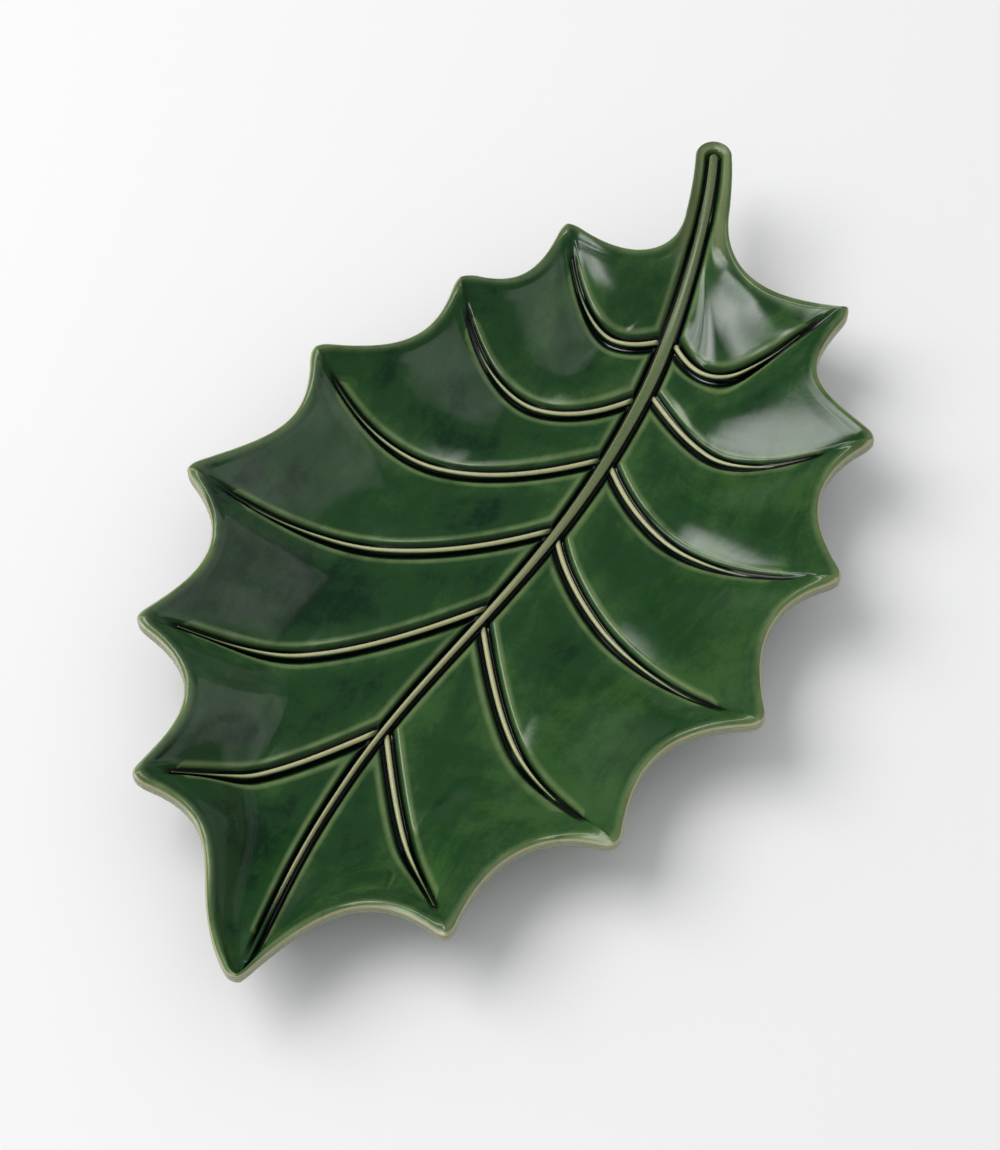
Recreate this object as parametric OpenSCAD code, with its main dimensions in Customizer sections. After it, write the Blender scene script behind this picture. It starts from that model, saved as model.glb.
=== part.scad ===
// Leaf shaped plate: a glazed serving platter in the form of a holly leaf.
// It is dished, with six spines a side, a terminal spine and a grooved stem.
// Plus Y runs along the leaf to the end of the stem and plus Z is up.
// One grid a side makes the blade: rows cross the leaf from the midrib to the
// rim, columns follow the midrib. The ribs reuse the points of the grooves
// that they lie in, so each one rests on the blade face to face.

/* [Leaf] */
// Length that the station shares are measured by
leaf_l = 403.5; // [360:0.5:440]
// Width that the reach shares are measured by
leaf_w = 240; // [220:1:260]
// Thickness of the pressed body
body_t = 6.5; // [6:0.1:7.5]
// Rise of the spines above the flat well
rim_rise = 25.5; // [20:0.5:30]
// Share of a bay's width that its rim dips between two spines
dip_share = 0.1; // [0.06:0.01:0.14]
// Length of rim that is rounded on each side of a spine
spine_round = 8; // [6:0.5:9]
// Height that each panel swells between its ribs
pillow_h = 1.2; // [0:0.1:1.6]

/* [Stem] */
// Half width of the stem at its round end
stem_half = 7.2; // [6.8:0.1:7.8]
// Reach of the stem left of the middle line where it joins the leaf
neck_left = 7.2; // [6.8:0.1:8]
// Reach of the stem right of the middle line where it joins the leaf
neck_right = 9.8; // [9:0.1:10.4]
// Rise of the rim at the stem end above the flat well
stem_rise = 27.5; // [22:0.5:32]
// Rise of the rim where the stem joins the leaf
neck_rise = 25; // [20:0.5:29]
// Height of the stem's rims above its middle
stem_dish = 1.5; // [1:0.1:2]

/* [Rim] */
// Height of the rim's upright edge with its roundings
edge_t = 6.2; // [5.8:0.1:6.4]
// Distance from the edge to the soft crease inside the rim
crease_d = 5.5; // [5:0.1:6.5]
// Distance from the edge to the top of the lip
lip_d = 2.2; // [1.8:0.1:2.6]
// Drop of the rounding outside the lip
lip_round = 1.6; // [1.2:0.1:2]
// Rounding under the edge
under_round = 1.6; // [1.2:0.1:2]

/* [Ribs] */
// Half width of the midrib at the stem
midrib_stem_half = 2.5; // [2.2:0.1:2.8]
// Half width of the midrib at the leaf tip
midrib_tip_half = 1.1; // [0.9:0.1:1.3]
// Height of the midrib above its groove
midrib_h = 3.4; // [2.8:0.1:3.8]
// Half width of a side rib
rib_half = 1.2; // [1:0.05:1.4]
// Height of a side rib above its groove
rib_h = 2.7; // [2.2:0.1:3]
// Width of groove floor left open beside a rib
floor_w = 1.1; // [0.9:0.1:1.4]
// Width of the bank from the groove floor up to the panel
bank_w = 1.7; // [1.4:0.1:2]
// Depth of the groove along the midrib
midrib_groove = 2.4; // [1.8:0.1:2.6]
// Depth of the groove along a side rib
rib_groove = 2; // [1.5:0.1:2.2]
// Length that the blunt root of a rib leans over
root_lean = 1; // [0.5:0.1:1.5]

/* [Foot ring] */
// Height of the foot ring
foot_h = 5; // [4.5:0.5:6]
// Half length of the foot ring
foot_half_l = 77; // [68:1:80]
// Half width of the foot ring, and the radius of its round ends
foot_half_w = 33; // [28:1:35]
// Width of the foot ring where it meets the blade
foot_top_w = 6.5; // [6:0.5:8]
// Width of the foot ring's resting face with its roundings
foot_land_w = 4.5; // [4:0.5:5.5]
// Rounding of the foot ring's bottom edges
foot_round = 1; // [0.6:0.1:1.4]

/* [Hidden] */
// Heights above the resting face
well_z = foot_h + body_t;
rim_z = well_z + rim_rise;
neck_z = well_z + neck_rise;
stem_z = well_z + stem_rise;
// Reaches of the evenly spaced points that bend the middle line, from the tip to the stem
midrib_reach_shares = [0, -0.02, -0.2, 0.25, 0.025, 0.124, 0.003];
// Stations on the middle line
stem_end_share = 0.984;
neck_share = 0.918;
last_share = 0.03;
// Stations where the middle line starts to rise to the stem and to the tip
stem_rise_share = 0.745;
tip_rise_share = 0.24;
tip_rise_power = 1.7;
// Share of a row that lies flat, and how the wall curves up beyond it, on the
// upper side and on the underside, which lies flat as far as the foot ring needs
flat_share = 0.42;
wall_power = 1.8;
sole_flat_share = 0.56;
sole_power = 1.5;
// How far a spine's corner is drawn back, as a share of its rounding
spine_back_share = 0.4;
// How strongly the rows inside the rim follow a rounded spine, and the leaf tip
spine_follow = 6;
tip_follow = 2;
// Share of a row over which a groove runs out, and a rib before it
groove_out_shares = [0.84, 0.97];
rib_out_shares = [0.62, 0.9];
// Stations over which the midrib and its groove run out
midrib_out_shares = [0.02, 0.075];

// Each rib: station of its root, two places that bend it and its spine's tip,
// each place as reach and station
left_rib_shares = [
    [0.800, [0.008, 0.763], [-0.054, 0.758], [-0.156, 0.856]],
    [0.736, [-0.036, 0.641], [-0.166, 0.666], [-0.266, 0.752]],
    [0.656, [-0.150, 0.525], [-0.291, 0.576], [-0.417, 0.615]],
    [0.564, [-0.145, 0.442], [-0.300, 0.451], [-0.488, 0.437]],
    [0.463, [-0.218, 0.284], [-0.270, 0.338], [-0.424, 0.273]],
    [0.303, [-0.190, 0.170], [-0.172, 0.225], [-0.296, 0.131]]];
right_rib_shares = [
    [0.805, [0.210, 0.722], [0.228, 0.846], [0.343, 0.875]],
    [0.743, [0.212, 0.687], [0.270, 0.670], [0.475, 0.744]],
    [0.653, [0.180, 0.584], [0.304, 0.562], [0.525, 0.587]],
    [0.557, [0.136, 0.487], [0.305, 0.432], [0.515, 0.419]],
    [0.442, [0.170, 0.312], [0.204, 0.314], [0.401, 0.251]],
    [0.303, [0.114, 0.176], [0.103, 0.208], [0.245, 0.111]]];
// Each bay of the rim from the stem to the tip: the angle it leaves its upper
// spine at, the length of that handle, then the same where it meets the lower
// spine; the angles are from the bay's chord and the lengths shares of it
left_bay_shares = [
    [76, 0.37, 45, 0.63],
    [36, 0.50, 45, 0.46],
    [43, 0.32, 33, 0.62],
    [44, 0.41, 22, 0.58],
    [57, 0.58, 31, 0.42],
    [57, 0.72, 26, 0.34],
    [50, 0.53, -3, 0.55]];
right_bay_shares = [
    [52, 0.43, 21, 0.39],
    [51, 0.57, 32, 0.64],
    [56, 0.50, 37, 0.50],
    [59, 0.53, 34, 0.41],
    [50, 0.64, 38, 0.40],
    [68, 0.32, 43, 0.71],
    [60, 0.57, 39, 0.53]];

// Numbers of rows round the stem end, down the stem and over the panels
fan_steps = 5;
stem_steps = 4;
neck_steps = 7;
panel_steps = 7;
tip_steps = 10;
// Number of columns between the midrib's groove and the rim
field_steps = 10;
// Largest shares of a row that the columns beside the midrib and the columns
// of the rim take up where the leaf is narrow
near_caps_share = [0.3, 0.42, 0.54];
rim_caps_share = [0.24, 0.13, 0.04];
// Column between the lip and the edge: its inset as a share of the lip's and its
// drop as a share of the lip's rounding
round_inset_share = 0.25;
round_drop_share = 0.33;
under_cap_share = 0.12;
// Columns of the underside from the rim inward, as shares of a row
under_shares = [0.92, 0.84, 0.75, 0.65, 0.54, 0.4, 0.15];
// Step of a row that its slope is measured over
probe_share = 0.04;
// Points across the top of a rib: place across its half width and height
rib_top_shares = [[-0.8, 0.42], [-0.45, 0.86], [0, 1], [0.45, 0.86], [0.8, 0.42]];
// Height of a rib's blunt root, as a share of the rib
root_h_share = 0.7;
// Thinnest end of a rib, as a share of its height
rib_end_share = 0.12;
// Middle of the foot ring
foot_reach_share = 0.037;
foot_station_share = 0.4985;

// Kinds of row
ahead_row = 0;
fan_row = 1;
stem_row = 2;
panel_row = 3;
before_row = 4;
after_row = 5;
tip_row = 6;
// The bays of a side are numbered from 0 at the stem; one rib lies after each but the last
last_bay = 6;

// Point of a curve that its control points pull at share t, and its slope
function curve(p, t) = len(p) == 1 ? p[0] :
    curve([for (k = [0 : len(p) - 2]) p[k] + t * (p[k + 1] - p[k])], t);
function slope(p, t) = (len(p) - 1) * curve([for (k = [0 : len(p) - 2]) p[k + 1] - p[k]], t);
function unit(v) = v / norm(v);
function mix(a, b, t) = a + t * (b - a);
function limit(x) = min(1, max(0, x));
function ease(x) = limit(x) * limit(x) * (3 - 2 * limit(x));
function right_of(v) = [v[1], -v[0]];
function turned(v, a) = [v[0] * cos(a) - v[1] * sin(a), v[0] * sin(a) + v[1] * cos(a)];
function at_shares(p) = [p[0] * leaf_w, p[1] * leaf_l];

// Middle line
mid_count = len(midrib_reach_shares) - 1;
mid_line = [for (k = [0 : mid_count]) at_shares([midrib_reach_shares[k], k / mid_count])];
function mid_at(s) = curve(mid_line, s);
function mid_slope(s) = slope(mid_line, s);
function mid_z(s) = well_z
    + (stem_z - stem_dish - well_z) * ease((s - stem_rise_share) / (1 - stem_rise_share))
    + rim_rise * pow(limit((tip_rise_share - s) / tip_rise_share), tip_rise_power);
function midrib_half(s) = mix(midrib_tip_half, midrib_stem_half, s);
function midrib_strength(s) =
    ease((s - midrib_out_shares[0]) / (midrib_out_shares[1] - midrib_out_shares[0]));

// The eight lines of a side: neck, six ribs, leaf tip. Sides are 0 left and 1 right.
function straight(a, b) = [for (k = [0 : 3]) mix(a, b, k / 3)];
function hand(side) = side == 0 ? -1 : 1;
neck_reaches = [neck_left, neck_right];
neck_across = right_of(unit(mid_slope(neck_share)));
neck_points = [for (side = [0, 1])
    straight(mid_at(neck_share), mid_at(neck_share) + hand(side) * neck_reaches[side] * neck_across)];
tip_points = straight(mid_at(last_share), mid_at(0));
rib_tables = [left_rib_shares, right_rib_shares];
lines = [for (side = [0, 1]) concat(
    [neck_points[side]],
    [for (r = rib_tables[side]) [mid_at(r[0]), at_shares(r[1]), at_shares(r[2]), at_shares(r[3])]],
    [tip_points])];
stations = [for (side = [0, 1]) concat([neck_share], [for (r = rib_tables[side]) r[0]], [last_share])];

// The seven bays of a side
bay_tables = [left_bay_shares, right_bay_shares];
function bay_points(a, b, t, way) =
    [a, a + t[1] * turned(b - a, -way * t[0]), b - t[3] * turned(b - a, way * t[2]), b];
bays = [for (side = [0, 1]) [for (k = [0 : last_bay])
    bay_points(lines[side][k][3], lines[side][k + 1][3], bay_tables[side][k], hand(side))]];

// Height of the rim along bay k
function rim_height(side, k, u) = mix(k == 0 ? neck_z : rim_z, rim_z, u)
    - dip_share * norm(bays[side][k][3] - bays[side][k][0]) * sin(180 * u);

// Point of the panel under bay k: u from line to line, v from the midrib to the rim
function panel_point(side, k, u, v) = let (
    a = lines[side][k],
    b = lines[side][k + 1],
    bay = bays[side][k])
    (1 - v) * mid_at(mix(stations[side][k], stations[side][k + 1], u)) + v * curve(bay, u)
    + (1 - u) * curve(a, v) + u * curve(b, v)
    - (1 - u) * ((1 - v) * a[0] + v * a[3]) - u * ((1 - v) * b[0] + v * b[3]);
// How fast the panel spreads from its first line, at end 0, or to its last, at end 1
function spread(side, k, end, v) = let (
    a = lines[side][k],
    b = lines[side][k + 1],
    run = (1 - v) * (stations[side][k + 1] - stations[side][k]) * mid_slope(stations[side][k + end])
        + v * slope(bays[side][k], end) + curve(b, v) - curve(a, v)
        - (1 - v) * (b[0] - a[0]) - v * (b[3] - a[3]),
    along = slope(end == 0 ? a : b, v))
    abs(cross(run, along)) / norm(along);
// Draw a point back where the spine at the end of a line is rounded, as far as it follows
function drawn_back(p, line, rim_point, follow) = let (
    near = limit(1 - norm(rim_point - line[3]) / spine_round))
    p - unit(line[3] - line[2]) * spine_round * spine_back_share * near * near * follow;
function rounded_point(side, k, u, v) = let (
    rim_point = curve(bays[side][k], u),
    p = panel_point(side, k, u, v),
    q = k == 0 ? p : drawn_back(p, lines[side][k], rim_point, pow(v, spine_follow)))
    drawn_back(q, lines[side][k + 1], rim_point, pow(v, k == last_bay ? tip_follow : spine_follow));

// Rows of a side from the stem end to the leaf tip: kind, bay and share or distance
shoulder_d = rib_half + floor_w + bank_w;
function rib_rows(k) = [
    [before_row, k - 1, rib_half + floor_w],
    [before_row, k - 1, rib_half],
    [after_row, k, rib_half],
    [after_row, k, rib_half + floor_w]];
rows = concat(
    [[ahead_row, 0, 0]],
    [for (i = [1 : fan_steps]) [fan_row, 0, 90 * i / fan_steps]],
    [for (i = [1 : stem_steps]) [stem_row, 0, i / stem_steps]],
    [for (i = [1 : neck_steps]) [panel_row, 0, i / neck_steps]],
    rib_rows(1),
    [for (k = [1 : last_bay - 1])
        each concat([for (i = [0 : panel_steps]) [panel_row, k, i / panel_steps]], rib_rows(k + 1))],
    [for (i = [0 : tip_steps - 1]) [panel_row, last_bay, sin(90 * i / tip_steps)]],
    [[tip_row, last_bay, 1]]);
last = len(rows) - 1;

// Place across the panel of a row, at share v of its length
function row_u(side, row, v) =
    row[0] == after_row ? row[2] / spread(side, row[1], 0, v) :
    row[0] == before_row ? 1 - row[2] / spread(side, row[1], 1, v) :
    row[0] == tip_row ? 1 :
    let (
        from = row[1] == 0 ? 0 : shoulder_d / spread(side, row[1], 0, v),
        to = row[1] == last_bay ? 1 : 1 - shoulder_d / spread(side, row[1], 1, v))
    mix(from, to, row[2]);
// Station of a row on the middle line
function row_station(side, row) =
    row[0] <= fan_row ? stem_end_share :
    row[0] == stem_row ? mix(stem_end_share, neck_share, row[2]) :
    mix(stations[side][row[1]], stations[side][row[1] + 1], row_u(side, row, 0));
function stem_point(side, row, v) = let (
    s = row_station(side, row),
    ahead = unit(mid_slope(s)),
    across = hand(side) * right_of(ahead),
    a = row[0] <= fan_row ? row[2] : 90,
    reach = row[0] <= fan_row ? stem_half : mix(stem_half, neck_reaches[side], row[2]))
    mid_at(s) + v * reach * (cos(a) * ahead + sin(a) * across);
function row_point(side, row, v) = row[0] <= stem_row ? stem_point(side, row, v) :
    rounded_point(side, row[1], row_u(side, row, v), v);

// Distance that a row moves off the middle line, and off the rim, over its whole length
function near_reach(side, row) = let (
    step = row_point(side, row, probe_share) - row_point(side, row, 0))
    row[0] <= stem_row ? norm(step) / probe_share :
    row[0] == tip_row ? 0 :
    abs(cross(step, unit(mid_slope(row_station(side, row))))) / probe_share;
function rim_reach(side, row) =
    row[0] <= stem_row ? norm(row_point(side, row, 1) - row_point(side, row, 0)) :
    let (
        u = row_u(side, row, 1),
        step = panel_point(side, row[1], u, 1) - panel_point(side, row[1], u, 1 - probe_share))
    abs(cross(step, unit(slope(bays[side][row[1]], u)))) / probe_share;

// Columns of a row as shares of its length: midrib, floor and bank, field, rim, underside
rim_insets = [crease_d, lip_d, lip_d * round_inset_share];
function share_of(d, reach, cap) = reach * cap > d ? d / reach : cap;
function near_shares(side, row) = let (
    s = row_station(side, row),
    half = midrib_half(s),
    reach = near_reach(side, row),
    d = [half, half + floor_w, half + floor_w + bank_w])
    [for (k = [0 : 2]) share_of(d[k], reach, near_caps_share[k])];
function row_shares(side, row) = let (
    near = near_shares(side, row),
    reach = rim_reach(side, row),
    rim = [for (k = [0 : 2]) 1 - share_of(rim_insets[k], reach, rim_caps_share[k])],
    under = 1 - share_of(under_round, reach, under_cap_share))
    concat(near,
        [for (i = [1 : field_steps - 1]) mix(near[2], rim[0], i / field_steps)],
        rim, [1, 1, under], under * under_shares);

// Number of each column
bank_col = 2;
crease_col = 2 + field_steps;
lip_col = crease_col + 1;
round_col = crease_col + 2;
edge_top_col = crease_col + 3;
edge_low_col = crease_col + 4;
under_col = crease_col + 5;
cols = under_col + 1 + len(under_shares);

// Heights
function row_rim_z(side, row) =
    row[0] <= fan_row ? stem_z :
    row[0] == stem_row ? mix(stem_z, neck_z, ease(row[2])) :
    rim_height(side, row[1], row_u(side, row, 1));
function wall(v, flat, power) = pow(limit((v - flat) / (1 - flat)), power);
function run_out(v, span) = 1 - ease((v - span[0]) / (span[1] - span[0]));
function row_groove(row, v) =
    (row[0] == before_row || row[0] == after_row) ? rib_groove * run_out(v, groove_out_shares) : 0;
function row_pillow(row, v) = row[0] == panel_row ? pillow_h * sin(180 * row[2]) * sin(180 * v) : 0;
function top_height(row, j, v, dish, s) =
    j >= lip_col ? dish :
    dish + (j > bank_col ? row_pillow(row, v) : 0)
    - max(row_groove(row, v), j < bank_col ? midrib_groove * midrib_strength(s) : 0);
function col_height(row, j, v, dish, sole, rim, s) =
    j < round_col ? top_height(row, j, v, dish, s) :
    j == round_col ? rim - lip_round * round_drop_share :
    j == edge_top_col ? rim - lip_round :
    j == edge_low_col ? rim - edge_t + under_round :
    j == under_col ? rim - edge_t :
    sole;

// All points of one row, from the midrib over the rim to the underside
function shared_station(row) = (row_station(0, row) + row_station(1, row)) / 2;
function row_points(side, row) = let (
    s = shared_station(row),
    v = row_shares(side, row),
    rim = row_rim_z(side, row),
    base = mid_z(s),
    off = hand(side) * right_of(unit(mid_slope(s))),
    foot = v[0] * near_reach(side, row))
    [for (j = [0 : cols - 1]) let (
        w = v[j] / v[lip_col],
        dish = base + (rim - base) * wall(w, flat_share, wall_power),
        sole = base - body_t + (rim - base) * wall(w, sole_flat_share, sole_power),
        beside = j == 0 && row[0] > fan_row && row[0] != tip_row,
        flat = beside ? mid_at(s) + foot * off : row_point(side, row, v[j]))
        [flat[0], flat[1], col_height(row, j, w, dish, sole, rim, s)]];
raw_grid = [for (side = [0, 1]) [for (row = rows) row_points(side, row)]];

// Middle of the outline, moved over the origin
edge_points = [for (side = [0, 1]) for (row = raw_grid[side]) row[edge_top_col]];
edge_x = [for (p = edge_points) p[0]];
edge_y = [for (p = edge_points) p[1]];
middle = [(min(edge_x) + max(edge_x)) / 2, (min(edge_y) + max(edge_y)) / 2, 0];
grid = [for (side = [0, 1]) [for (row = raw_grid[side]) [for (p = row) p - middle]]];

// The first and the last row lie on the middle line and are shared by both sides
inner = last - 1;
function number(side, r, j) =
    r == 0 ? j :
    r == last ? cols + j :
    2 * cols + (side * inner + r - 1) * cols + j;
blade_points = concat(
    grid[0][0],
    grid[0][last],
    [for (side = [0, 1]) for (r = [1 : inner]) each grid[side][r]]);
function facing(side, f) = side == 1 ? f : [for (k = [len(f) - 1 : -1 : 0]) f[k]];
function quad(a, b, c, d) = [[a, b, c], [a, c, d]];
blade_faces = concat(
    [for (side = [0, 1]) for (r = [0 : last - 1]) for (j = [0 : cols - 2]) let (
        here = number(side, r, j),
        out = number(side, r, j + 1),
        out_next = number(side, r + 1, j + 1),
        next = number(side, r + 1, j))
        each [for (f = quad(here, out, out_next, next)) facing(side, f)]],
    [for (r = [0 : last - 1]) each [for (f = cross_faces(r, 0)) facing(0, f)]],
    [for (r = [0 : last - 1]) each cross_faces(r, cols - 1)]);
// Strip between the two sides along column j
function cross_faces(r, j) =
    r == 0 ? [[number(0, 0, j), number(0, 1, j), number(1, 1, j)]] :
    r == last - 1 ? [[number(0, r, j), number(0, last, j), number(1, r, j)]] :
    quad(number(0, r, j), number(0, r + 1, j), number(1, r + 1, j), number(1, r, j));

// Sections of a rib between two lines of floor points, from left to right
function rib_section(a, b, h, lean) = concat([a, b],
    [for (k = [len(rib_top_shares) - 1 : -1 : 0]) let (t = rib_top_shares[k])
        mix(a, b, (1 + t[0]) / 2) + [0, 0, h * t[1]] + t[1] * lean]);
section_n = 2 + len(rib_top_shares);
// Skin between sections, with the floor split the same way as the blade's
function skin(n, m) = [for (i = [0 : n - 2]) for (k = [0 : m - 1]) let (
    a = i * m + k,
    b = i * m + (k + 1) % m)
    each quad(a, b, b + m, a + m)];

module leaf_blade() {
    color([0.11, 0.29, 0.15]) polyhedron(points = blade_points, faces = blade_faces, convexity = 6);
}

module midrib() {
    sections = [for (r = [1 : inner]) let (
        s = shared_station(rows[r]),
        a = rows[r][0] == fan_row ? rows[r][2] : 90,
        h = midrib_h * sqrt(sin(a)) * max(rib_end_share, midrib_strength(s)))
        each rib_section(grid[1][r][0], grid[0][r][0], h, [0, 0, 0])];
    count = inner * section_n;
    tail = count - section_n;
    faces = concat(
        skin(inner, section_n),
        [for (k = [0 : section_n - 1]) [count, (k + 1) % section_n, k]],
        [for (k = [0 : section_n - 1]) [count + 1, tail + k, tail + (k + 1) % section_n]]);
    points = concat(sections, [grid[0][0][0], grid[0][last][0]]);
    color([0.36, 0.48, 0.25]) polyhedron(points = points, faces = faces, convexity = 4);
}

// First row of each rib: the one just before its line
rib_starts = [for (r = [0 : last - 1]) if (rows[r][0] == before_row && rows[r + 1][0] == after_row) r];
rib_first_col = 1;
rib_last_col = crease_col - 1;

module vein(side, n) {
    r = rib_starts[n - 1];
    line = lines[side][n];
    sections = [for (j = [rib_first_col : rib_last_col]) let (
        v = (j - rib_first_col) / (crease_col - rib_first_col),
        strength = j == rib_first_col ? root_h_share : max(rib_end_share, run_out(v, rib_out_shares)),
        lean = j == rib_first_col ? root_lean * concat(unit(line[1] - line[0]), 0) : [0, 0, 0],
        a = grid[side][r][j],
        b = grid[side][r + 1][j])
        each rib_section(side == 0 ? b : a, side == 0 ? a : b, rib_h * strength, lean)];
    n_sections = rib_last_col - rib_first_col + 1;
    ends = (n_sections - 1) * section_n;
    faces = concat(
        skin(n_sections, section_n),
        [[for (k = [section_n - 1 : -1 : 0]) k]],
        [[for (k = [0 : section_n - 1]) ends + k]]);
    color([0.62, 0.66, 0.4]) polyhedron(points = sections, faces = faces, convexity = 4);
}

module left_vein_1() { vein(0, 1); }
module left_vein_2() { vein(0, 2); }
module left_vein_3() { vein(0, 3); }
module left_vein_4() { vein(0, 4); }
module left_vein_5() { vein(0, 5); }
module left_vein_6() { vein(0, 6); }
module right_vein_1() { vein(1, 1); }
module right_vein_2() { vein(1, 2); }
module right_vein_3() { vein(1, 3); }
module right_vein_4() { vein(1, 4); }
module right_vein_5() { vein(1, 5); }
module right_vein_6() { vein(1, 6); }

// The foot ring has two round ends joined by straight sides
foot_end_y = foot_half_l - foot_half_w;
foot_middle = at_shares([foot_reach_share, foot_station_share]) - [middle[0], middle[1]];
foot_lean = (foot_top_w - foot_land_w) / 2;
corner_steps = 6;

// Rounded corner of the section, from angle a down over a quarter turn
function corner(x, a) = [for (i = [0 : corner_steps]) let (b = a - 90 * i / corner_steps)
    [x + foot_round * cos(b), foot_round + foot_round * sin(b)]];

// Section of the ring, with the reach of its outer face on the first axis
module ring_section() {
    polygon(concat(
        [[foot_half_w - foot_land_w - foot_lean, foot_h], [foot_half_w + foot_lean, foot_h]],
        corner(foot_half_w - foot_round, 0),
        corner(foot_half_w - foot_land_w + foot_round, -90)));
}

module half_ring() {
    translate([0, foot_end_y, 0]) {
        rotate_extrude(angle = 180, $fa = 4) ring_section();
        rotate([90, 0, 0]) linear_extrude(height = 2 * foot_end_y) ring_section();
    }
}

module foot_ring() {
    color([0.78, 0.7, 0.56])
        translate([foot_middle[0], foot_middle[1], 0]) {
            half_ring();
            rotate([0, 0, 180]) half_ring();
        }
}

leaf_blade();
midrib();
left_vein_1();
left_vein_2();
left_vein_3();
left_vein_4();
left_vein_5();
left_vein_6();
right_vein_1();
right_vein_2();
right_vein_3();
right_vein_4();
right_vein_5();
right_vein_6();
foot_ring();
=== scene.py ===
import math
from collections import namedtuple
from functools import reduce

import bmesh
import bpy
import numpy as np
from bpy.props import FloatProperty, FloatVectorProperty, PointerProperty
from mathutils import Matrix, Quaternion, Vector


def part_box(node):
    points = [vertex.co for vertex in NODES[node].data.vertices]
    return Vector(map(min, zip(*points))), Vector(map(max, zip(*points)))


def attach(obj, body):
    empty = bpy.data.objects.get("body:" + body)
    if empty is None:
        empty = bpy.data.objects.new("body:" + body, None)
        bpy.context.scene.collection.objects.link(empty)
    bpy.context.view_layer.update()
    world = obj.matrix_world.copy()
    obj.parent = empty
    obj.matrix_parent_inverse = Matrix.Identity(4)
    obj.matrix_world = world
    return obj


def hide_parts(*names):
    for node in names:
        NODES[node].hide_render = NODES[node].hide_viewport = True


bl_info = {
    "name": "Leaf shaped plate",
    "version": (1, 0, 0),
    "blender": (4, 5, 0),
    "location": "View3D > Sidebar > Leaf plate",
    "description": "Builds a glazed holly leaf plate over its CAD frame, with its stage and camera",
    "category": "Add Mesh",
}

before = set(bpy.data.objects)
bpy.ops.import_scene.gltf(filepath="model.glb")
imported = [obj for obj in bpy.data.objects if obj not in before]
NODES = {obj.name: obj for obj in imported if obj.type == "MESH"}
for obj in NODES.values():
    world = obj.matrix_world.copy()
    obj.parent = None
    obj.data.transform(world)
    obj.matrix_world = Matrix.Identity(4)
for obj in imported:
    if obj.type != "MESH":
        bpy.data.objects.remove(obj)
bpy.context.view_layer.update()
BLADE_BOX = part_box("leaf_blade")

MM = 0.001

# Reaches of the evenly spaced points that bend the middle line, from the tip to the stem
MIDRIB_REACH_SHARES = (0, -0.02, -0.2, 0.25, 0.025, 0.124, 0.003)
# Stations on the middle line, from 0 at the leaf tip to 1: the stem's end, its neck and the last row
STEM_END_SHARE = 0.984
NECK_SHARE = 0.918
LAST_SHARE = 0.03
# Where the middle line rises to the stem and to the tip
STEM_RISE_SHARE = 0.745
TIP_RISE_SHARE = 0.24
TIP_RISE_POWER = 1.7
# The wall of the dish, on top and underneath
FLAT_SHARE = 0.42
WALL_POWER = 1.8
SOLE_FLAT_SHARE = 0.56
SOLE_POWER = 1.5
# How closely the underside keeps to its wall before it meets the rounding under the edge
SOLE_BLEND = 8
# Stations over which the glaze turns to the thin olive of the stem
STEM_GLAZE = (0.875, 0.955)
# Rounding of the spines
SPINE_BACK_SHARE = 0.4
SPINE_FOLLOW = 6
TIP_FOLLOW = 2
# Shares of a row over which a groove runs out, of a rib over which it does, and the midrib's stations
GROOVE_OUT = (0.87, 0.985)
RIB_OUT = (0.6, 0.93)
MIDRIB_OUT = (0.02, 0.075)
# Shares of a row over which a groove and its rib narrow, and what they narrow to
TAPER = (0.35, 0.95)
TAPER_TO = 0.5
# How sharply two grooves that meet keep to the deeper one
GROOVE_BLEND = 5
# Distance from the soft crease at which about a third of its depth is left
CREASE_SPREAD = 1.3 * MM
# Station and width of the midrib there, as a share of its greatest width
MIDRIB_WIDTH_SHARES = (
    (0, 0.24), (0.2, 0.35), (0.4, 0.48), (0.55, 0.67), (0.68, 0.88), (0.78, 1), (0.88, 0.84), (1, 0.74))
# Half width of the midrib at the stem end, as a share of the stem's
MIDRIB_END_SHARE = 0.265

# Each rib: station of its root, two places that bend it and its spine's tip
RIB_SHARES = (
    ((0.800, (0.008, 0.763), (-0.054, 0.758), (-0.156, 0.856)),
     (0.736, (-0.036, 0.641), (-0.166, 0.666), (-0.266, 0.752)),
     (0.656, (-0.150, 0.525), (-0.291, 0.576), (-0.417, 0.615)),
     (0.564, (-0.145, 0.442), (-0.300, 0.451), (-0.488, 0.437)),
     (0.463, (-0.218, 0.284), (-0.270, 0.338), (-0.424, 0.273)),
     (0.303, (-0.190, 0.170), (-0.172, 0.225), (-0.296, 0.131))),
    ((0.805, (0.210, 0.722), (0.228, 0.846), (0.343, 0.875)),
     (0.743, (0.212, 0.687), (0.270, 0.670), (0.475, 0.744)),
     (0.653, (0.180, 0.584), (0.304, 0.562), (0.525, 0.587)),
     (0.557, (0.136, 0.487), (0.305, 0.432), (0.515, 0.419)),
     (0.442, (0.170, 0.312), (0.204, 0.314), (0.401, 0.251)),
     (0.303, (0.114, 0.176), (0.103, 0.208), (0.245, 0.111))))
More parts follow.
